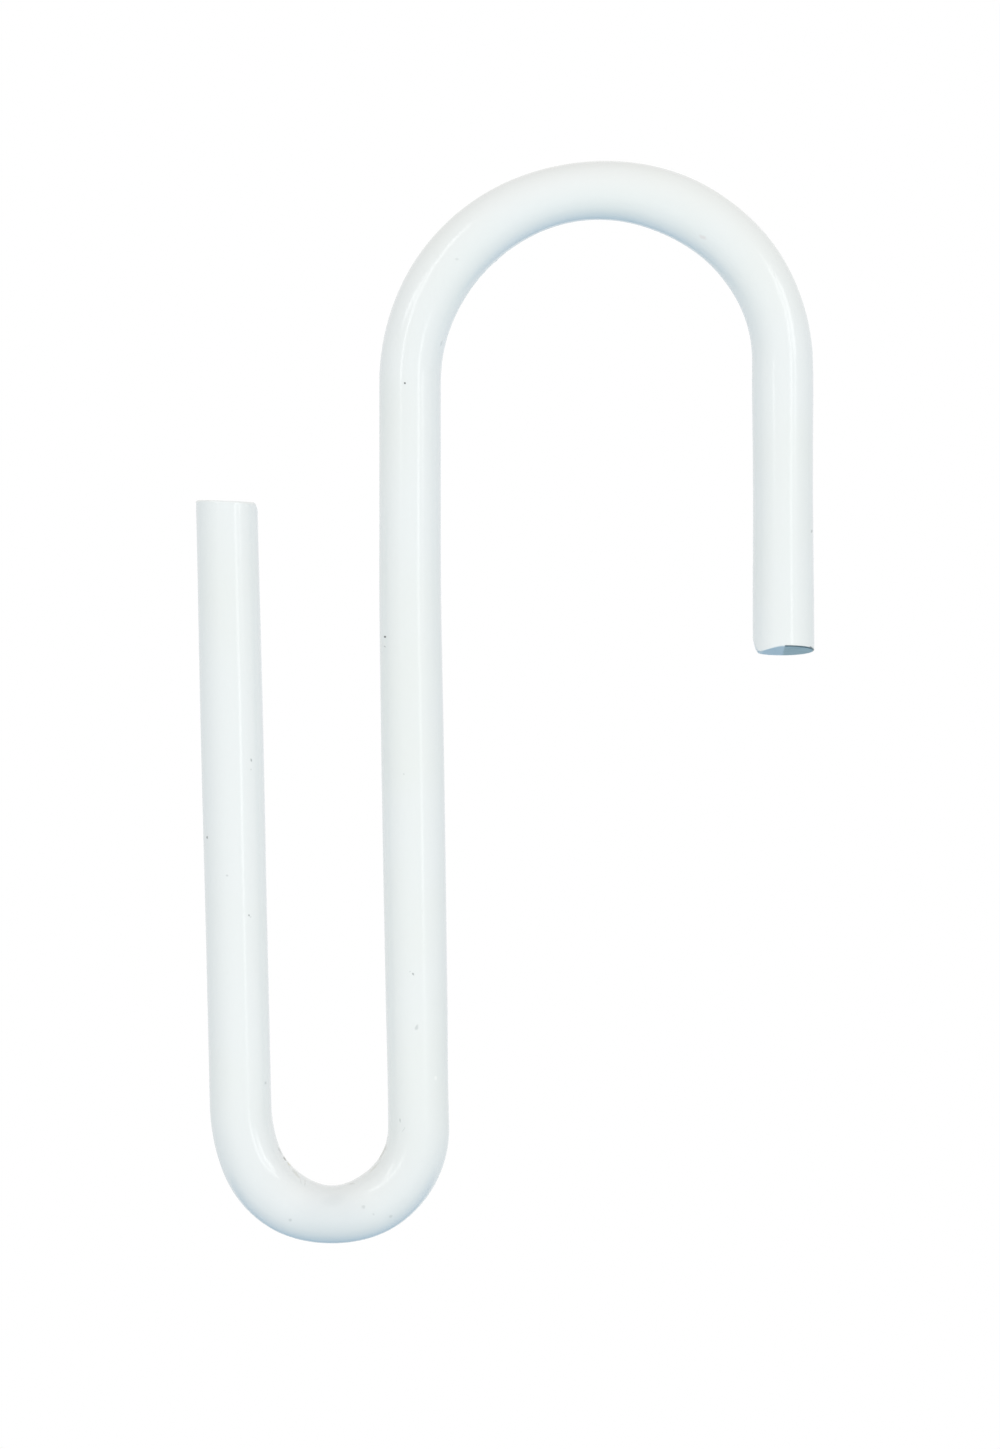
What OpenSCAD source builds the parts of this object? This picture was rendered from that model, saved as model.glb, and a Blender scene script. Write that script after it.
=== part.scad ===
// Display hook for a wire grid panel: one length of round steel wire, sheared off, bent cold into a long S
// and painted. It hangs by the inside of its wide upper bend, where the origin is, and goods hang in the narrow
// lower bend. The wire lies in the XZ plane, with the shank and the lower hook on the -X side.

/* [Wire] */
// Diameter of the bare steel wire
wire_d = 6.35; // [4:0.05:9]
// Thickness of the paint on the wire
coat_t = 0.08; // [0:0.01:0.3]

/* [Upper hook] */
// Inside radius of the half of the upper bend next to the shank
back_bend_r = 17; // [12:0.1:30]
// Inside radius of the upper bend just past its crown
crown_bend_r = 16.5; // [12:0.1:30]
// Angle that the wire turns through just past the crown
crown_bend_angle = 40; // [20:0.5:70]
// Inside radius of the last stretch of the upper bend, where it closes in on the upper leg
nose_bend_r = 14.6; // [10:0.1:30]
// How far the upper leg stands open from the vertical
upper_leg_splay = 0.2; // [-2:0.1:6]
// Straight length of the upper leg, to the middle of its cut
upper_leg_l = 30.4; // [15:0.1:60]

/* [Shank] */
// Straight length of the shank under the upper bend
shank_top_l = 20; // [8:0.1:60]
// Radius of the faint set in the shank
shank_set_r = 300; // [150:10:600]
// Angle that the set turns the shank inwards
shank_set_angle = 0.92; // [0.5:0.01:3]
// Straight length of the shank below the set
shank_low_l = 53.7; // [20:0.1:120]

/* [Lower hook] */
// Inside radius of the lower bend
lower_bend_r = 5.9; // [4.5:0.1:15]
// Angle that the wire turns through in the lower bend
lower_bend_angle = 161; // [150:0.5:165]
// Inside radius of the stretch where the lower bend runs out into the lower leg
runout_bend_r = 14.2; // [8:0.1:30]
// Angle that the wire turns through in the run-out
runout_bend_angle = 18.6; // [10:0.1:25]
// Straight length of the lower leg, to the middle of its cut
lower_leg_l = 63.7; // [20:0.1:120]

/* [Sheared ends] */
// Tilt of the upper leg's cut, which turns its face to the front
upper_cut_tilt = 8; // [2:0.5:15]
// Tilt of the lower leg's cut, which slopes down towards the shank
lower_cut_tilt = 3.6; // [1:0.1:10]
// How far the rolled-over edge reaches in across the upper leg's cut
upper_roll_w = 0.75; // [0.5:0.05:1]
// How far the rolled-over edge reaches back along the upper leg
upper_roll_l = 1.35; // [0.9:0.05:2]
// How far the rolled-over edge reaches in across the lower leg's cut
lower_roll_w = 0.4; // [0.3:0.05:0.5]
// How far the rolled-over edge reaches back along the lower leg
lower_roll_l = 0.7; // [0.6:0.05:1.2]

/* [Hidden] */
$fn = 96;

// Painted wire
rod_d = wire_d + 2 * coat_t;
rod_r = rod_d / 2;
paint_white = [0.93, 0.95, 0.95];

// The upper bend turns a quarter to each side of its crown
quarter_turn = 90;
nose_bend_angle = quarter_turn - crown_bend_angle - upper_leg_splay;

// How far each stretch of wire laps into the one before it, and how much thinner it is there
lap_l = 0.2;
lap_hair = 0.01;

// Diameter of the stretch that is being drawn
$stretch_d = rod_d;

// Wire left past a cut before it is sheared, and the size of the block that the shear takes away
shear_stock_l = rod_r;
shear_block_w = 2 * rod_d;

// Turn of a round on its own axis, which keeps the seam where it closes clear of the cuts
seam_turn = 135;

// Radius of a rolled edge, over that of an arc which would leave the wire's side without a crease
roll_ease_share = 1.5;

// Straight stretch of wire along +Z, and then what follows it
module straight(length) {
    translate([0, 0, -lap_l]) cylinder(d = $stretch_d, h = length + lap_l);
    translate([0, 0, length]) next_stretch() children();
}

// Stretch of wire bent towards +X round a former of the inside radius, and then what follows it
module bend(inside_r, angle) {
    centre_r = inside_r + rod_r;
    lap_angle = lap_l / centre_r * 180 / PI;
    translate([centre_r, 0, 0]) {
        rotate([90, 0, 180])
            rotate_extrude(start = -lap_angle, angle = angle + lap_angle)
                translate([centre_r, 0]) circle(d = $stretch_d);
        rotate([0, angle, 0]) translate([-centre_r, 0, 0]) next_stretch() children();
    }
}

// What follows a stretch is a hair thinner, so that its lap lies inside the end it joins
module next_stretch() {
    let ($stretch_d = $stretch_d - lap_hair) children();
}

// Wire turned half round on its own axis, so that what follows bends the other way
module turn_over() {
    rotate([0, 0, 180]) children();
}

// Last straight of a leg along +Z, sheared off at a tilt, with the edge at +X rolled over
module sheared_leg(length, tilt, roll_w, roll_l) {
    leg_r = $stretch_d / 2;
    difference() {
        translate([0, 0, -lap_l]) rotate(seam_turn) cylinder(r = leg_r, h = length + lap_l + shear_stock_l);
        translate([0, 0, length]) {
            rotate(tilt) translate([-rod_d, -rod_d, 0]) cube(shear_block_w);
            rotate([tilt.x, 0, 0]) translate([leg_r, 0, -leg_r * tan(tilt.y)]) rolled_edge_waste(roll_w, roll_l);
        }
    }
}

// Waste outside a rolled edge: the arc runs from the cut's face, in along -X, to the wire's side, back along -Z
module rolled_edge_waste(roll_w, roll_l) {
    roll_r = roll_ease_share * (roll_w ^ 2 + roll_l ^ 2) / (2 * roll_w);
    chord = norm([roll_w, roll_l]);
    inset = sqrt(roll_r ^ 2 - (chord / 2) ^ 2) / chord;
    translate([-roll_w / 2 - roll_l * inset, 0, -roll_l / 2 - roll_w * inset]) difference() {
        translate([0, -shear_block_w, 0]) cube(2 * shear_block_w);
        rotate([90, 0, 0]) rotate(seam_turn) cylinder(r = roll_r, h = 3 * shear_block_w, center = true);
    }
}

// The whole hook, run out both ways from the crown of its upper bend
module wire_hook() {
    color(paint_white) translate([0, 0, rod_r]) {
        rotate([0, 90, 180])
            bend(back_bend_r, quarter_turn)
            straight(shank_top_l)
            bend(shank_set_r, shank_set_angle)
            straight(shank_low_l)
            turn_over()
            bend(lower_bend_r, lower_bend_angle)
            bend(runout_bend_r, runout_bend_angle)
            sheared_leg(lower_leg_l, [0, lower_cut_tilt, 0], lower_roll_w, lower_roll_l);
        rotate([0, 90, 0])
            next_stretch()
            bend(crown_bend_r, crown_bend_angle)
            bend(nose_bend_r, nose_bend_angle)
            sheared_leg(upper_leg_l, [upper_cut_tilt, 0, 0], upper_roll_w, upper_roll_l);
    }
}

wire_hook();
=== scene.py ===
import math

import bpy
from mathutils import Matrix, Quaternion, Vector


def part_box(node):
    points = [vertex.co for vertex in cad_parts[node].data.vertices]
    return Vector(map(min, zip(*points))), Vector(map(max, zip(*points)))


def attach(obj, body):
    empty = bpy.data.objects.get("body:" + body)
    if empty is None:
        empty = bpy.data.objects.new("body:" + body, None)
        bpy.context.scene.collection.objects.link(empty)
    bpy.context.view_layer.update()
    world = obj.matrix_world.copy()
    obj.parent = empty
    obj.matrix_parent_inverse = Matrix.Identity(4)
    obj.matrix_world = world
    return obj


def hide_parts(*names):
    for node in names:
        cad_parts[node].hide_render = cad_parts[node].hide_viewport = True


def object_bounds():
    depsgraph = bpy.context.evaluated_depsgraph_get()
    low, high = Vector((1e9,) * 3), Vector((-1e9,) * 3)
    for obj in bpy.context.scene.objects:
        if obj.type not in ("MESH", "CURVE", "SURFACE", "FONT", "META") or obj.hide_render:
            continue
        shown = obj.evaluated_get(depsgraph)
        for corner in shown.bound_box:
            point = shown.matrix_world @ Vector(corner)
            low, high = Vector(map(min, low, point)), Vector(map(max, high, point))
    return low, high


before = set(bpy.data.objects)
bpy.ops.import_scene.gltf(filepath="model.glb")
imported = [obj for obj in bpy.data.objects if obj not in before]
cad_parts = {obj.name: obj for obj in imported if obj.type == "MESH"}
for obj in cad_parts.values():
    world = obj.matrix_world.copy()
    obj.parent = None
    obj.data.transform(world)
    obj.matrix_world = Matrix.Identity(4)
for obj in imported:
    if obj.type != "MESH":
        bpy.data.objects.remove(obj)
cadLow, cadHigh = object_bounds()
mm = 0.001
print("frame loaded, box in mm:", [round(side / mm, 2) for side in cadHigh - cadLow])


def linear(hexColour):
    # sRGB hex to the linear colour that the nodes take
    shares = [int(hexColour[i:i + 2], 16) / 255 for i in (1, 3, 5)]
    return [s / 12.92 if s <= 0.04045 else ((s + 0.055) / 1.055) ** 2.4 for s in shares] + [1.0]


def addNode(tree, kind, feeds=None, **settings):
    # feeds maps an input's name or number to a value, or to the socket it is linked from
    node = tree.nodes.new(kind)
    for name, value in settings.items():
        setattr(node, name, value)
    for key, value in (feeds or {}).items():
        if isinstance(value, bpy.types.NodeSocket):
            tree.links.new(value, node.inputs[key])
        else:
            node.inputs[key].default_value = value
    return node


def smooth(share):
    share = min(max(share, 0.0), 1.0)
    return share * share * (3 - 2 * share)


# The wire: one length, traced both ways from the crown of its upper bend, in mm and degrees
wire = {
    "ringStep": 0.36,
    "ringSides": 88,
    # (inside radius, angle) is a bend, one number is a straight, and a minus turns the other way
    "upperRun": [(16.5, 40), (14.6, 49.8), 30.4],
    "lowerRun": [(17, 90), 20, (300, 0.92), 53.7, (5.9, -161), (14.2, -18.6), 63.7],
    # where bending has pressed the wire: distance from the crown, reach each way, share of width taken off
    "pressed": [(3.4, 12, 0.055), (20, 8, -0.014), (-9, 7, -0.012), (-24.7, 8, 0.025), (-43, 14, 0.025),
                (75, 30, -0.02), (106, 9, 0.018), (117.6, 5, -0.006), (124.8, 5.5, 0.06), (132, 5, -0.016),
                (181, 24, -0.018)],
    "flankSpread": 0.6,      # how much of that comes out again at the front and back
    "edgeRound": 0.2,        # paint softens the edge of each cut
    "edgeRings": 6,
    "faceRings": 26,
    "faceGather": 1.6,       # above 1, the face's rings gather towards its rim
    "faceDome": 0.03,
    "faceCentre": 0.004,     # share of the radius where the face closes
    "tipFade": 6.0,          # the slant of a cut dies away over this length of wire
    "nibAt": (-11.22, 0.0, -4.02),     # a hard drop of paint inside the upper bend
    "nibReach": 0.45,
    "nibHigh": 0.08,
}
# each end is sheared at a slant: the blade rolls over one edge, and eases or (below 0) draws out another
upperCut = {"slant": (0, -math.tan(math.radians(8)), 0),
            "rollSide": (-1, 0, 0), "rollWide": 0.75, "rollDeep": 1.35,
            "easeSide": (-0.8, -0.6, 0), "easeWide": 1.3, "easeDeep": -0.42}
lowerCut = {"slant": (-math.tan(math.radians(3.6)), 0, 0),
            "rollSide": (1, 0, 0), "rollWide": 0.4, "rollDeep": 0.6,
            "easeSide": (0.7, -0.7, 0), "easeWide": 0.4, "easeDeep": 0.15}
ringKinds = {"girth": "FLOAT", "press": "FLOAT", "slant": "FLOAT_VECTOR",
             "rollSide": "FLOAT_VECTOR", "rollFrom": "FLOAT", "rollDeep": "FLOAT",
             "easeSide": "FLOAT_VECTOR", "easeFrom": "FLOAT", "easeDeep": "FLOAT",
             "cutFace": "FLOAT", "cutLipShadow": "FLOAT"}

nodeLow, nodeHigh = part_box("wire_hook")
rodRadius = (nodeHigh.y - nodeLow.y) / 2 / mm
crownZ = nodeHigh.z / mm - rodRadius


def traceRun(stretches, heading, turn):
    # rings of one run as (x, z, distance from the crown), stepping along chords of its arcs
    x, z, travelled = 0.0, crownZ, 0.0
    rings = [(x, z, travelled)]
    for stretch in stretches:
        if isinstance(stretch, tuple):
            radius, sweep = stretch[0] + rodRadius, math.radians(abs(stretch[1]))
            length, side = radius * sweep, math.copysign(turn, turn * stretch[1])
        else:
            length, sweep, side = stretch, 0.0, turn
        steps = max(2, round(length / wire["ringStep"]))
        sweep /= steps
        chord = 2 * radius * math.sin(sweep / 2) if sweep else length / steps
        for _ in range(steps):
            heading += side * sweep / 2
            x += chord * math.cos(heading)
            z += chord * math.sin(heading)
            heading += side * sweep / 2
            travelled += length / steps
            rings.append((x, z, travelled))
    return rings, heading


def endRings(rings, heading, cut, sign):
    # gives each ring its girth, and rounds the last one over into the face of the cut
    tipX, tipZ, tipAt = rings[-1]
    edge, dome = wire["edgeRound"], wire["faceDome"]
    made = [{"x": x, "z": z, "at": at, "girth": 1.0, "cutFace": 0.0, "cutLipShadow": 0.0}
            for x, z, at in rings if at < tipAt - edge]
    profile = []
    for i in range(wire["edgeRings"] + 1):
        # the face comes in part of the way round the edge, and the lip, a band at its middle, carries a
        # painted shadow of the paint film's edge
        turned = math.radians(90 * i / wire["edgeRings"])
        girth = 1 - edge / rodRadius * (1 - math.cos(turned))
        face, lip = smooth(turned - 0.35), smooth(2.4 * math.sin(2 * turned) - 1)
        profile.append((edge * (math.sin(turned) - 1), girth, face, lip))
    rim = profile[-1][1]
    for i in range(1, wire["faceRings"] + 1):
        inward = (i / wire["faceRings"]) ** wire["faceGather"]
        girth = max(rim * (1 - inward), wire["faceCentre"])
        profile.append((dome * math.sin(inward * math.pi / 2), girth, 1.0, 0.0))
    for along, girth, face, lip in profile:
        made.append({"x": tipX + along * math.cos(heading), "z": tipZ + along * math.sin(heading),
                     "at": tipAt + along, "girth": girth, "cutFace": face, "cutLipShadow": lip})
    for ring in made:
        hold = smooth(1 - (tipAt - ring["at"]) / wire["tipFade"])
        ring["slant"] = [share * hold for share in cut["slant"]]
        for kind in ("roll", "ease"):
            ring[kind + "Side"] = cut[kind + "Side"]
            ring[kind + "From"] = 1 - cut[kind + "Wide"] / rodRadius
            ring[kind + "Deep"] = sign * cut[kind + "Deep"] * hold * mm
        ring["at"] *= sign
    return made


upper = endRings(*traceRun(wire["upperRun"], 0.0, -1), upperCut, -1)
lower = endRings(*traceRun(wire["lowerRun"], math.pi, 1), lowerCut, 1)
rings = upper[:0:-1] + lower
for ring in rings:
    ring["press"] = sum(share * math.cos(math.pi / 2 * min(1, abs(ring["at"] - at) / reach)) ** 2
                        for at, reach, share in wire["pressed"])
    if ring["at"] > 0:
        ring["cutFace"] = ring["cutLipShadow"] = 0.0      # the lower cut is painted all over
print("wire traced:", len(rings), "rings")

# one thin polyline carries the rings' settings into the sweep
pathMesh = bpy.data.meshes.new("wirePath")
pathPoints = [(ring["x"] * mm, 0, ring["z"] * mm) for ring in rings]
pathMesh.from_pydata(pathPoints, [(i, i + 1) for i in range(len(rings) - 1)], [])
for name, kind in ringKinds.items():
    values = pathMesh.attributes.new(name, kind, "POINT").data
    for i, ring in enumerate(rings):
        setattr(values[i], "vector" if kind == "FLOAT_VECTOR" else "value", ring[name])

# White stoving enamel over drawn steel wire, sprayed and baked: a soft even gloss with a faint orange peel,
# specks here and there, rubbed dirt and broad painted shade in the lower bend, grey bare steel where the
# shear broke the film, with painted shadow along the film's edge and painted shade on the rest of that cut
enamel = {
    "white": "#eef0ef",
    "cream": "#eceeea",
    "tintMm": 14,
    "roughness": (0.13, 0.18),
    "peelMm": 2.0,
    "peelMicrons": 1.5,
    # a darker warm grey where the upper bend faces up
    "topGrey": "#cfcdc7",
    "topGreyMost": 0.11,
    "topGreyUpward": (0.75, 1.0),     # it lies where the surface faces up
    "topGreyHeights": (-30, -15),     # and only this high and above
    "speckMm": 5.0,                # spread of the specks on the side away from the camera
    "speckMost": 0.05,             # share of that spread
    "speckColour": "#3a3a34",
    "rippleMm": 0.35,              # the outlines of the marks wander this finely
    "wobbleMm": 0.1,               # and this far
    "steel": "#dfeae4",
    "streakMm": 1.2,
    "cutRoughness": 0.6,
    "bareFrom": 19.18,             # the bare half of the upper cut starts here in X
    "bareSoft": 0.06,
    "thin": "#d0dde3",             # painted blue-grey shade on the rest of that cut's face
    "thinFrom": 16.6,              # from here in X, so none on its rolled edge
    "thinSoft": 0.6,
    # painted shadow of the paint film's edge, a dark line along the top of the bare steel
    "lip": "#66767a",
    # x, z, half width, half height, turn in degrees, strength, colour
    "marks": [
        # the first two are broad grey over the whole lower bend: painted shade, darker towards the bottom
        (-28.5, -104.8, 16.0, 15.0, 0, 0.4, "#e3e5e6"),
        (-28.5, -104.8, 4.6, 3.2, 0, 0.4, "#d8dde0"),
        (-28.3, -103.2, 1.4, 0.7, 10, 0.14, "#c6ccce"),
        (-22.86, -43.91, 0.13, 0.13, 0, 1.0, "#14181a"),
        (-22.88, -44.92, 0.13, 0.1, 0, 0.4, "#6a7474"),
        (-20.77, -17.22, 0.1, 0.13, 0, 0.95, "#20241f"),
        (-41.62, -65.02, 0.13, 0.18, 20, 0.6, "#3c4648"),
        (-37.19, -73.21, 0.1, 0.15, 0, 0.55, "#6b7270"),
        (-37.03, -73.40, 0.12, 0.08, 0, 0.25, "#8f9694"),
        (-36.95, -56.89, 0.11, 0.2, 0, 0.55, "#6a7472"),
        (-36.97, -57.86, 0.1, 0.12, 0, 0.25, "#8f9896"),
        (-39.48, -69.03, 0.13, 0.13, 0, 0.25, "#8c9494"),
        (-20.90, -58.37, 0.12, 0.12, 0, 0.22, "#8c9494"),
        (-19.88, -79.42, 0.13, 0.15, 30, 0.55, "#6c7674"),
        (-20.20, -79.10, 0.09, 0.09, 0, 0.3, "#8c9494"),
        (-35.47, -90.89, 0.16, 0.2, 0, 0.3, "#8a9692"),
        (-19.52, -84.98, 0.2, 0.36, -20, 0.3, "#8c9494"),
        (-32.83, -105.25, 0.24, 0.2, 0, 0.25, "#8c9494"),
        (-25.12, -103.88, 0.24, 0.24, 0, 0.25, "#949a98"),
        (-22.27, -104.93, 0.22, 0.2, 0, 0.25, "#8c9494"),
        (-24.05, -104.65, 0.14, 0.14, 0, 0.2, "#8c9494"),
        (-21.27, -94.80, 0.1, 0.28, 0, 0.35, "#8a9290"),
        (-20.90, -95.75, 0.06, 0.4, -35, 0.25, "#9aa09e"),
        # a near-white spot, brighter than the enamel around it
        (-17.52, -90.36, 0.18, 0.26, 10, 0.7, "#fbfbf8"),
        (-16.94, -12.97, 0.12, 0.4, -20, 0.2, "#7d8a8a"),
        (-16.50, -13.60, 0.1, 0.25, 15, 0.2, "#8c9494"),
        (-15.30, -4.20, 0.2, 0.2, 0, 0.16, "#8c9494"),
        (10.57, -1.88, 0.5, 0.24, -25, 0.35, "#d9c9c6"),
        (22.13, -32.76, 0.14, 0.24, 0, 0.5, "#6f7c7a"),
        (22.05, -45.05, 0.3, 0.14, -20, 0.75, "#3f4a4a"),
        (-33.96, -98.14, 0.55, 0.1, -64, 0.28, "#6f6d58"),
        (-33.48, -98.97, 0.27, 0.13, -56, 0.65, "#5f593f"),
        (-33.04, -99.54, 0.34, 0.15, -54, 0.4, "#b0a45e"),
        (-32.24, -100.55, 0.75, 0.13, -48, 0.22, "#a5a17c"),
        (-31.30, -101.45, 0.08, 0.5, 8, 0.18, "#9a9c92"),
        (-31.75, -101.30, 0.07, 0.35, 5, 0.15, "#9a9c92"),
        (-23.10, -98.26, 1.1, 0.15, 62, 0.32, "#918d72"),
        (-23.98, -99.82, 0.9, 0.11, 45, 0.2, "#a8a48c"),
        (-26.40, -101.56, 0.35, 0.12, 10, 0.22, "#8f8b78"),
    ],
}


def frontAt(x, z):
    # Y of the wire's front surface there, in mm
    offCentre = min(math.hypot(ring["x"] - x, ring["z"] - z) for ring in rings)
    return -math.sqrt(max(rodRadius ** 2 - offCentre ** 2, 0.0))


def makeEnamel():
    material = bpy.data.materials.new("stovedWhiteEnamelOnSteel")
    material.use_nodes = True
    tree = material.node_tree
    shader = tree.nodes["Principled BSDF"]
    place = addNode(tree, "ShaderNodeTexCoord").outputs["Object"]
    axes = addNode(tree, "ShaderNodeSeparateXYZ", {0: place}).outputs

    # the coat: white with a slow drift of tone, and a darker warm grey where the upper bend faces up
    drift = addNode(tree, "ShaderNodeTexNoise",
                    {"Vector": place, "Scale": 1 / (enamel["tintMm"] * mm), "Detail": 2.0}).outputs["Fac"]
    tint = addNode(tree, "ShaderNodeMapRange", {0: drift, 1: 0.4, 2: 0.7, 3: 0.0, 4: 0.6}).outputs[0]
    coat = addNode(tree, "ShaderNodeMix",
                   {0: tint, 6: linear(enamel["white"]), 7: linear(enamel["cream"])},
                   data_type="RGBA").outputs[2]
    facing = addNode(tree, "ShaderNodeNewGeometry").outputs["Normal"]
    upward = addNode(tree, "ShaderNodeSeparateXYZ", {0: facing}).outputs["Z"]
    upFrom, upBy = enamel["topGreyUpward"]
    topGreyShare = addNode(tree, "ShaderNodeMapRange",
                    {0: upward, 1: upFrom, 2: upBy, 3: 0.0, 4: enamel["topGreyMost"]}).outputs[0]
    highFrom, highBy = enamel["topGreyHeights"]
    high = addNode(tree, "ShaderNodeMapRange", {0: axes["Z"], 1: highFrom * mm, 2: highBy * mm}).outputs[0]
    topGreyShare = addNode(tree, "ShaderNodeMath", {0: topGreyShare, 1: high}, operation="MULTIPLY").outputs[0]
    coat = addNode(tree, "ShaderNodeMix", {0: topGreyShare, 6: coat, 7: linear(enamel["topGrey"])},
                   data_type="RGBA").outputs[2]

    # plain specks on the side that the photo doesn't show
    cells = addNode(tree, "ShaderNodeTexVoronoi",
                    {"Vector": place, "Scale": 1 / (enamel["speckMm"] * mm)}).outputs
    chosen = addNode(tree, "ShaderNodeSeparateColor", {0: cells["Color"]}).outputs
    size = addNode(tree, "ShaderNodeMapRange",
                   {0: chosen[0], 1: 0.5, 2: 1.0, 3: 0.0, 4: enamel["speckMost"]}).outputs[0]
    speck = addNode(tree, "ShaderNodeMath", {0: cells["Distance"], 1: size},
                    operation="LESS_THAN").outputs[0]
    behind = addNode(tree, "ShaderNodeMapRange",
                     {0: axes["Y"], 1: 0.1 * mm, 2: 0.5 * mm, 3: 0.0, 4: 0.7}).outputs[0]
    speck = addNode(tree, "ShaderNodeMath", {0: speck, 1: behind}, operation="MULTIPLY").outputs[0]
    coat = addNode(tree, "ShaderNodeMix", {0: speck, 6: coat, 7: linear(enamel["speckColour"])},
                   data_type="RGBA").outputs[2]

    # marks that the photo shows, each a soft patch on the front of the wire
    ripple = addNode(tree, "ShaderNodeTexNoise",
                     {"Vector": place, "Scale": 1 / (enamel["rippleMm"] * mm), "Detail": 1.0})
    ripple = addNode(tree, "ShaderNodeVectorMath", {0: ripple.outputs["Color"], 1: (0.5, 0.5, 0.5)},
                     operation="SUBTRACT").outputs["Vector"]
    worn = addNode(tree, "ShaderNodeVectorMath",
                   {0: ripple, 1: [2 * enamel["wobbleMm"] * mm] * 3, 2: place},
                   operation="MULTIPLY_ADD").outputs["Vector"]
    for x, z, wide, high, turned, strength, colour in enamel["marks"]:
        # a mark goes about as deep as it is wide, so that it stays on its side of the wire
        deep = min(1.2 * max(wide, high) + 0.3, 1.5 * rodRadius)
        local = addNode(tree, "ShaderNodeMapping",
                        {"Vector": worn, "Location": Vector((x, frontAt(x, z), z)) * mm,
                         "Rotation": (0, math.radians(-turned), 0),
                         "Scale": Vector((wide, deep, high)) * mm},
                        vector_type="TEXTURE").outputs[0]
        away = addNode(tree, "ShaderNodeVectorMath", {0: local}, operation="LENGTH").outputs["Value"]
        cover = addNode(tree, "ShaderNodeMapRange", {0: away, 1: 0.3, 2: 1.2, 3: strength, 4: 0.0},
                        interpolation_type="SMOOTHSTEP").outputs[0]
        coat = addNode(tree, "ShaderNodeMix", {0: cover, 6: coat, 7: linear(colour)},
                       data_type="RGBA").outputs[2]

    # bare steel on half of the upper cut, with a painted shadow of the paint film's edge along it, and
    # painted blue-grey shade on the rest of that cut's face
    face = addNode(tree, "ShaderNodeAttribute", attribute_name="cutFace").outputs["Fac"]
    lip = addNode(tree, "ShaderNodeAttribute", attribute_name="cutLipShadow").outputs["Fac"]
    across = addNode(tree, "ShaderNodeSeparateXYZ", {0: worn}).outputs["X"]
    bareFrom, bareSoft = enamel["bareFrom"], enamel["bareSoft"]
    bare = addNode(tree, "ShaderNodeMapRange",
                   {0: across, 1: (bareFrom - bareSoft) * mm, 2: (bareFrom + bareSoft) * mm}).outputs[0]
    # painted shadow: a dark band where the bare steel meets the paint's edge
    lipShadowShare = addNode(tree, "ShaderNodeMath", {0: bare, 1: lip}, operation="MULTIPLY").outputs[0]
    bare = addNode(tree, "ShaderNodeMath", {0: bare, 1: face}, operation="MULTIPLY").outputs[0]
    drawn = addNode(tree, "ShaderNodeMapping", {"Vector": place, "Scale": (1, 12, 1)}).outputs[0]
    streak = addNode(tree, "ShaderNodeTexNoise",
                     {"Vector": drawn, "Scale": 1 / (enamel["streakMm"] * mm), "Detail": 3.0}).outputs["Fac"]
    shade = addNode(tree, "ShaderNodeMapRange", {0: streak, 1: 0.3, 2: 0.7, 3: 0.8, 4: 1.1}).outputs[0]
    steel = addNode(tree, "ShaderNodeVectorMath", {0: linear(enamel["steel"])[:3], 3: shade},
                    operation="SCALE").outputs[0]
    # painted shade: a blue-grey over the upper cut's face from this X on
    thinFrom, thinSoft = enamel["thinFrom"], enamel["thinSoft"]
    cutShadeShare = addNode(tree, "ShaderNodeMapRange",
                     {0: across, 1: thinFrom * mm, 2: (thinFrom + thinSoft) * mm}).outputs[0]
    cutShadeShare = addNode(tree, "ShaderNodeMath", {0: cutShadeShare, 1: face}, operation="MULTIPLY").outputs[0]
    coat = addNode(tree, "ShaderNodeMix", {0: cutShadeShare, 6: coat, 7: linear(enamel["thin"])},
                   data_type="RGBA").outputs[2]
    colour = addNode(tree, "ShaderNodeMix", {0: bare, 6: coat, 7: steel}, data_type="RGBA").outputs[2]
    colour = addNode(tree, "ShaderNodeMix", {0: lipShadowShare, 6: colour, 7: linear(enamel["lip"])},
                     data_type="RGBA").outputs[2]
    tree.links.new(colour, shader.inputs["Base Color"])
    tree.links.new(bare, shader.inputs["Metallic"])
    gloss, dull = enamel["roughness"]
    rough = addNode(tree, "ShaderNodeMapRange", {0: drift, 1: 0.35, 2: 0.65, 3: gloss, 4: dull}).outputs[0]
    rough = addNode(tree, "ShaderNodeMix", {0: face, 2: rough, 3: enamel["cutRoughness"]}).outputs[0]
    tree.links.new(rough, shader.inputs["Roughness"])

    # orange peel
    peel = addNode(tree, "ShaderNodeTexNoise",
                   {"Vector": place, "Scale": 1 / (enamel["peelMm"] * mm), "Detail": 1.0}).outputs["Fac"]
    bump = addNode(tree, "ShaderNodeBump",
                   {"Height": peel, "Distance": enamel["peelMicrons"] * 1e-6, "Strength": 1.0})
    tree.links.new(bump.outputs["Normal"], shader.inputs["Normal"])
    return material


enamelMaterial = makeEnamel()
print("enamel made")


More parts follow.
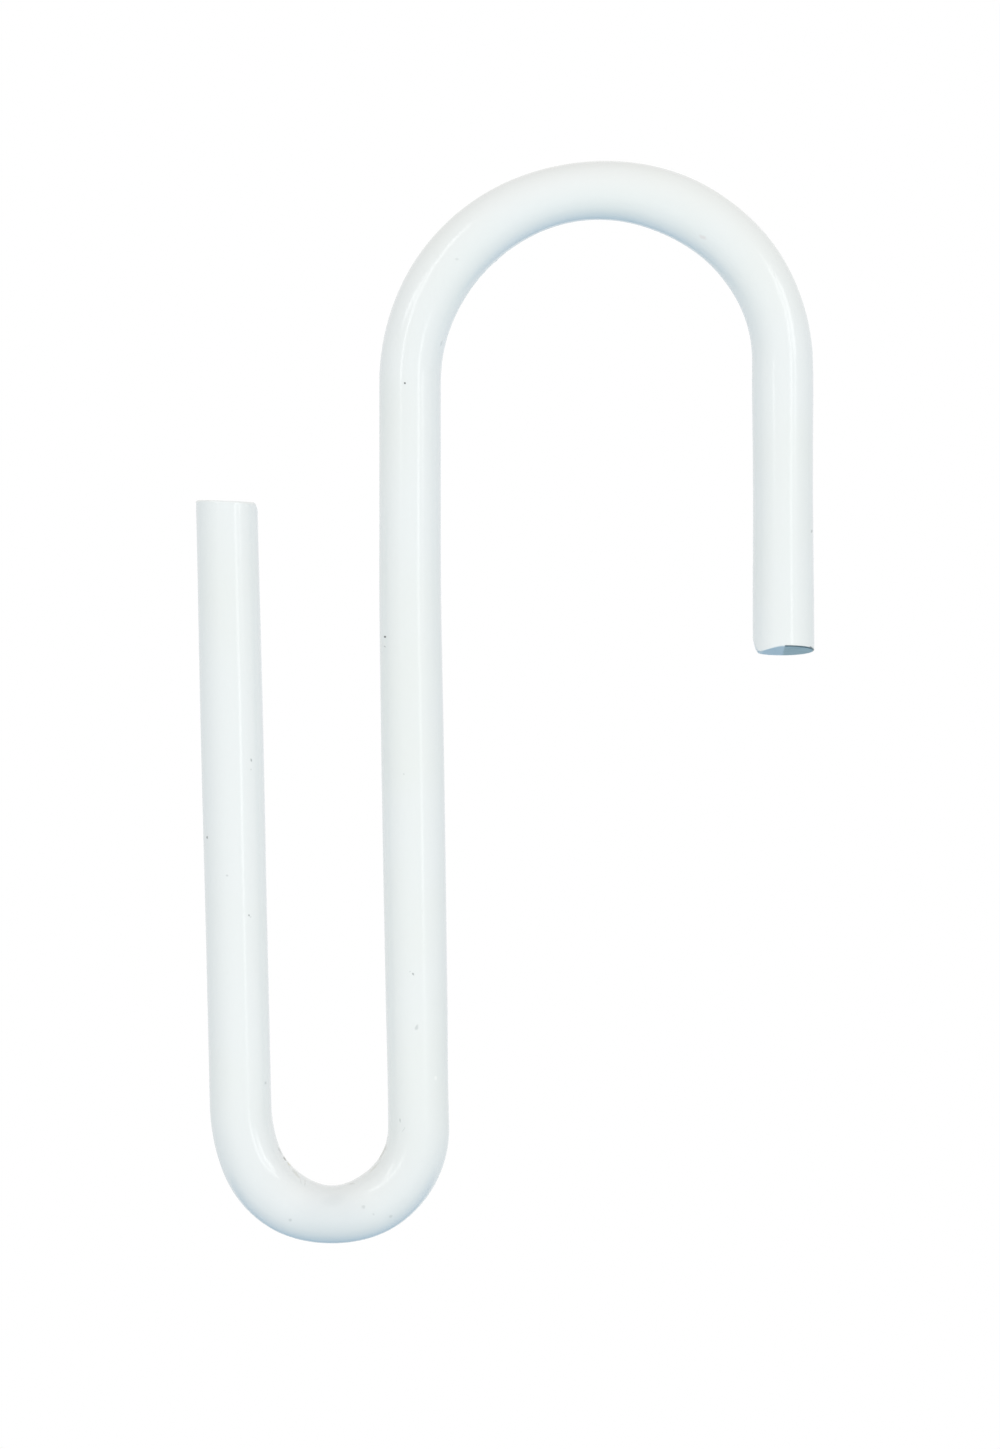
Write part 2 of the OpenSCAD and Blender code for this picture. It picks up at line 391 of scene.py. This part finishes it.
def makeSweep():
    # sweeps a round section along the path, presses it flatter in the bends and shears its ends
    tree = bpy.data.node_groups.new("wireSweep", "GeometryNodeTree")
    wanted = {"Path": "Geometry", "Rod radius": "Float", "Ring sides": "Int", "Flank spread": "Float",
              "Nib place": "Vector", "Nib reach": "Float", "Nib height": "Float", "Finish": "Material"}
    sockets = {}
    for name, kind in wanted.items():
        socket = tree.interface.new_socket(name, in_out="INPUT", socket_type="NodeSocket" + kind)
        sockets[name] = socket.identifier
    tree.interface.new_socket("Hook", in_out="OUTPUT", socket_type="NodeSocketGeometry")
    given = addNode(tree, "NodeGroupInput").outputs
    held = {}
    for name, kind in {**ringKinds, "spine": "FLOAT_VECTOR", "heading": "FLOAT_VECTOR"}.items():
        read = addNode(tree, "GeometryNodeInputNamedAttribute", {"Name": name}, data_type=kind)
        held[name] = read.outputs[0]
    here = addNode(tree, "GeometryNodeInputPosition").outputs[0]

    # the round section, run along the path
    curve = addNode(tree, "GeometryNodeMeshToCurve", {0: given["Path"]}).outputs[0]
    along = addNode(tree, "GeometryNodeInputTangent").outputs[0]
    for name, source in (("spine", here), ("heading", along)):
        curve = addNode(tree, "GeometryNodeStoreNamedAttribute", {0: curve, "Name": name, "Value": source},
                        data_type="FLOAT_VECTOR", domain="POINT").outputs[0]
    section = addNode(tree, "GeometryNodeCurvePrimitiveCircle",
                      {"Resolution": given["Ring sides"], "Radius": given["Rod radius"]}).outputs[0]
    solid = addNode(tree, "GeometryNodeCurveToMesh",
                    {"Curve": curve, "Profile Curve": section, "Scale": held["girth"],
                     "Fill Caps": True}).outputs[0]

    # pressed thinner in the plane of the bends, and broader across it
    spoke = addNode(tree, "ShaderNodeVectorMath", {0: here, 1: held["spine"]},
                    operation="SUBTRACT").outputs[0]
    thin = addNode(tree, "ShaderNodeMath", {0: 1.0, 1: held["press"]}, operation="SUBTRACT").outputs[0]
    broad = addNode(tree, "ShaderNodeMath", {0: held["press"], 1: given["Flank spread"], 2: 1.0},
                    operation="MULTIPLY_ADD").outputs[0]
    squash = addNode(tree, "ShaderNodeCombineXYZ", {"X": thin, "Y": broad, "Z": thin}).outputs[0]
    spoke = addNode(tree, "ShaderNodeVectorMath", {0: spoke, 1: squash}, operation="MULTIPLY").outputs[0]

    # sheared at a slant, less what the blade and the paint take off its edge
    slide = addNode(tree, "ShaderNodeVectorMath", {0: spoke, 1: held["slant"]},
                    operation="DOT_PRODUCT").outputs["Value"]
    for kind in ("roll", "ease"):
        side = addNode(tree, "ShaderNodeVectorMath", {0: spoke, 1: held[kind + "Side"]},
                       operation="DOT_PRODUCT").outputs["Value"]
        side = addNode(tree, "ShaderNodeMath", {0: side, 1: given["Rod radius"]},
                       operation="DIVIDE").outputs[0]
        share = addNode(tree, "ShaderNodeMapRange", {0: side, 1: held[kind + "From"], 2: 1.0}).outputs[0]
        share = addNode(tree, "ShaderNodeMath", {0: share, 1: 2.0}, operation="POWER").outputs[0]
        taken = addNode(tree, "ShaderNodeMath", {0: share, 1: held[kind + "Deep"]},
                        operation="MULTIPLY").outputs[0]
        slide = addNode(tree, "ShaderNodeMath", {0: slide, 1: taken}, operation="SUBTRACT").outputs[0]
    slid = addNode(tree, "ShaderNodeVectorMath", {0: held["heading"], 3: slide},
                   operation="SCALE").outputs[0]
    place = addNode(tree, "ShaderNodeVectorMath", {0: held["spine"], 1: spoke}, operation="ADD").outputs[0]
    place = addNode(tree, "ShaderNodeVectorMath", {0: place, 1: slid}, operation="ADD").outputs[0]

    # the nib of paint
    away = addNode(tree, "ShaderNodeVectorMath", {0: place, 1: given["Nib place"]},
                   operation="DISTANCE").outputs["Value"]
    swell = addNode(tree, "ShaderNodeMapRange",
                    {0: away, 1: 0.0, 2: given["Nib reach"], 3: given["Nib height"], 4: 0.0},
                    interpolation_type="SMOOTHSTEP").outputs[0]
    outward = addNode(tree, "ShaderNodeVectorMath", {0: spoke}, operation="NORMALIZE").outputs[0]
    swell = addNode(tree, "ShaderNodeVectorMath", {0: outward, 3: swell}, operation="SCALE").outputs[0]
    place = addNode(tree, "ShaderNodeVectorMath", {0: place, 1: swell}, operation="ADD").outputs[0]

    solid = addNode(tree, "GeometryNodeSetPosition", {0: solid, "Position": place}).outputs[0]
    solid = addNode(tree, "GeometryNodeSetShadeSmooth", {0: solid}).outputs[0]
    solid = addNode(tree, "GeometryNodeRealizeInstances", {0: solid}).outputs[0]
    solid = addNode(tree, "GeometryNodeSetMaterial", {0: solid, "Material": given["Finish"]}).outputs[0]
    addNode(tree, "NodeGroupOutput", {0: solid})
    return tree, sockets


sweepTree, sweepSockets = makeSweep()
pathObject = bpy.data.objects.new("wirePath", pathMesh)
bpy.context.scene.collection.objects.link(pathObject)
modifier = pathObject.modifiers.new("wireSweep", "NODES")
modifier.node_group = sweepTree
sweepSizes = {
    "Rod radius": rodRadius * mm,
    "Ring sides": wire["ringSides"],
    "Flank spread": wire["flankSpread"],
    "Nib place": [side * mm for side in wire["nibAt"]],
    "Nib reach": wire["nibReach"] * mm,
    "Nib height": wire["nibHigh"] * mm,
    "Finish": enamelMaterial,
}
for name, value in sweepSizes.items():
    modifier[sweepSockets[name]] = value
graph = bpy.context.evaluated_depsgraph_get()
hookMesh = bpy.data.meshes.new_from_object(pathObject.evaluated_get(graph))
bpy.data.objects.remove(pathObject)
for name in [*ringKinds, "spine", "heading"]:
    spare = hookMesh.attributes.get(name)
    if spare and not name.startswith("cut"):     # the enamel reads the two of the cuts
        hookMesh.attributes.remove(spare)
hook = bpy.data.objects.new("wireHook", hookMesh)
bpy.context.scene.collection.objects.link(hook)
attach(hook, "root")
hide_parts("wire_hook")
print("hook swept:", len(hookMesh.vertices), "points,", len(hookMesh.polygons), "faces")

# Camera: square on to the plane of the wire, from far enough off to flatten the view
view = {"centreX": -10.76, "centreZ": -53.14, "frameHigh": 153.0, "distance": 800, "sensor": 36.0}
camera = bpy.data.cameras.new("camera")
camera.sensor_width = view["sensor"]
camera.lens = view["sensor"] * view["distance"] / view["frameHigh"]
cameraObject = bpy.data.objects.new("camera", camera)
cameraObject.location = Vector((view["centreX"], -view["distance"], view["centreZ"])) * mm
cameraObject.rotation_euler = (math.pi / 2, 0, 0)
bpy.context.scene.collection.objects.link(cameraObject)
bpy.context.scene.camera = cameraObject

# Studio: a white tent of light over a pale cool floor, a panel low in front and one behind,
# strips for the glints, and a dark flag in front that keeps the wire's face from mirroring white
studio = {
    "tent": "#e4e4e3",
    "floor": "#bfd0d8",
    "floorBehind": "#68a2cb",       # the floor throws bluer light from behind the hook
    "blueDepths": (-0.1, 0.4),      # m in Y over which that blue comes in
    "floorSeen": "#f6f8f9",         # to the camera the floor is pale
    "glossDepths": (-0.3, 0.0),     # and in the wire's gloss it is white in front, fading out over these
    "floorDrop": 0.8,               # m below the hook
    "floorSide": 8.0,
    "whiteFrom": 1.3,               # m from the hook where the floor starts to run out into white
    "whiteBy": 2.1,
    # name, degrees to the right of the camera, degrees above level, m away, m wide and high,
    # degrees of lean on its own axis, radiance
    "panels": [
        ("frontFlag", 0, 2, 1.3, 2.2, 2.1, 0, 0.005),
        ("lowPanel", 0, -26, 1.0, 1.8, 0.5, 0, 1.25),
        ("backPanel", 180, 8, 1.2, 1.0, 1.0, 0, 1.1),
        ("rightStrip", 37, 13, 0.9, 0.11, 0.62, -28, 2.4),
        ("farRightStrip", 52, 16, 0.9, 0.16, 0.42, -28, 2.6),
        ("leftStrip", -36, 22, 0.9, 0.1, 0.58, 5, 2.9),
        ("farLeftStrip", -52, 24, 0.9, 0.26, 0.12, 17, 2.4),
    ],
}
hookMiddle = (cadLow + cadHigh) / 2


def seenDirectly(tree):
    # 1 for what the camera sees, straight, in a reflection or through something clear
    rays = addNode(tree, "ShaderNodeLightPath").outputs
    seen = addNode(tree, "ShaderNodeMath", {0: rays["Is Camera Ray"], 1: rays["Is Glossy Ray"]},
                   operation="MAXIMUM").outputs[0]
    seen = addNode(tree, "ShaderNodeMath", {0: seen, 1: rays["Is Transmission Ray"]},
                   operation="MAXIMUM").outputs[0]
    return seen


def makeWorld():
    # what is seen is plain white, and the hook is lit by the tent
    world = bpy.data.worlds.new("lightTent")
    world.use_nodes = True
    tree = world.node_tree
    tree.nodes.clear()
    tent = addNode(tree, "ShaderNodeBackground",
                   {"Color": linear(studio["tent"]), "Strength": 1.0}).outputs[0]
    white = addNode(tree, "ShaderNodeBackground", {"Color": linear("#ffffff"), "Strength": 1.0}).outputs[0]
    mixed = addNode(tree, "ShaderNodeMixShader", {0: seenDirectly(tree), 1: tent, 2: white}).outputs[0]
    addNode(tree, "ShaderNodeOutputWorld", {"Surface": mixed})
    bpy.context.scene.world = world


def makeFloor():
    half, height = studio["floorSide"] / 2, cadLow.z - studio["floorDrop"]
    mesh = bpy.data.meshes.new("studioFloor")
    corners = [(-half, -half), (half, -half), (half, half), (-half, half)]
    mesh.from_pydata([(x, y, height) for x, y in corners], [], [(0, 1, 2, 3)])
    floor = bpy.data.objects.new("studioFloor", mesh)
    bpy.context.scene.collection.objects.link(floor)
    material = bpy.data.materials.new("paleStudioFloor")
    material.use_nodes = True
    tree = material.node_tree
    tree.nodes.clear()
    rays = addNode(tree, "ShaderNodeLightPath").outputs
    place = addNode(tree, "ShaderNodeTexCoord").outputs["Object"]
    place = addNode(tree, "ShaderNodeVectorMath", {0: place, 1: (1, 1, 0)},
                    operation="MULTIPLY").outputs["Vector"]
    away = addNode(tree, "ShaderNodeVectorMath", {0: place, 1: (hookMiddle.x, hookMiddle.y, 0)},
                   operation="DISTANCE").outputs["Value"]
    depth = addNode(tree, "ShaderNodeSeparateXYZ", {0: place}).outputs["Y"]

    # its colour, bluer behind the hook
    blueFrom, blueBy = studio["blueDepths"]
    behind = addNode(tree, "ShaderNodeMapRange", {0: depth, 1: blueFrom, 2: blueBy},
                     interpolation_type="SMOOTHSTEP").outputs[0]
    cool = addNode(tree, "ShaderNodeMix",
                   {0: behind, 6: linear(studio["floor"]), 7: linear(studio["floorBehind"])},
                   data_type="RGBA").outputs[2]
    cool = addNode(tree, "ShaderNodeMix",
                   {0: rays["Is Camera Ray"], 6: cool, 7: linear(studio["floorSeen"])},
                   data_type="RGBA").outputs[2]
    pale = addNode(tree, "ShaderNodeBsdfDiffuse", {"Color": cool}).outputs[0]

    # plain white to the eye far out, and in the wire's gloss where it lies in front
    runOut = addNode(tree, "ShaderNodeMapRange", {0: away, 1: studio["whiteFrom"], 2: studio["whiteBy"]},
                     interpolation_type="SMOOTHSTEP").outputs[0]
    glossFrom, glossBy = studio["glossDepths"]
    inFront = addNode(tree, "ShaderNodeMapRange", {0: depth, 1: glossFrom, 2: glossBy, 3: 1.0, 4: 0.0},
                      interpolation_type="SMOOTHSTEP").outputs[0]
    inFront = addNode(tree, "ShaderNodeMath", {0: inFront, 1: rays["Is Glossy Ray"]},
                      operation="MULTIPLY").outputs[0]
    runOut = addNode(tree, "ShaderNodeMath", {0: runOut, 1: inFront}, operation="MAXIMUM").outputs[0]
    runOut = addNode(tree, "ShaderNodeMath", {0: runOut, 1: seenDirectly(tree)},
                     operation="MULTIPLY").outputs[0]
    white = addNode(tree, "ShaderNodeEmission", {"Color": linear("#ffffff"), "Strength": 1.0}).outputs[0]
    surface = addNode(tree, "ShaderNodeMixShader", {0: runOut, 1: pale, 2: white}).outputs[0]

    # clear from below
    under = addNode(tree, "ShaderNodeNewGeometry").outputs["Backfacing"]
    clear = addNode(tree, "ShaderNodeBsdfTransparent").outputs[0]
    surface = addNode(tree, "ShaderNodeMixShader", {0: under, 1: surface, 2: clear}).outputs[0]
    addNode(tree, "ShaderNodeOutputMaterial", {"Surface": surface})
    mesh.materials.append(material)


def makePanels():
    for name, aside, above, away, wide, high, lean, radiance in studio["panels"]:
        light = bpy.data.lights.new(name, "AREA")
        light.shape = "RECTANGLE"
        light.size, light.size_y = wide, high
        light.energy = radiance * math.pi * wide * high
        turn, rise = math.radians(aside), math.radians(above)
        level = math.cos(rise)
        towards = Vector((math.sin(turn) * level, -math.cos(turn) * level, math.sin(rise)))
        lamp = bpy.data.objects.new(name, light)
        lamp.location = hookMiddle + towards * away
        lamp.rotation_mode = "QUATERNION"
        leaning = Quaternion((0, 0, 1), math.radians(lean))
        lamp.rotation_quaternion = (-towards).to_track_quat("-Z", "Y") @ leaning
        lamp.visible_glossy = abs(aside) < 90 and above > 0     # what stands behind or low gives no glints
        bpy.context.scene.collection.objects.link(lamp)


makeWorld()
makeFloor()
makePanels()
bpy.context.scene.view_settings.view_transform = "Standard"
print("studio lit")
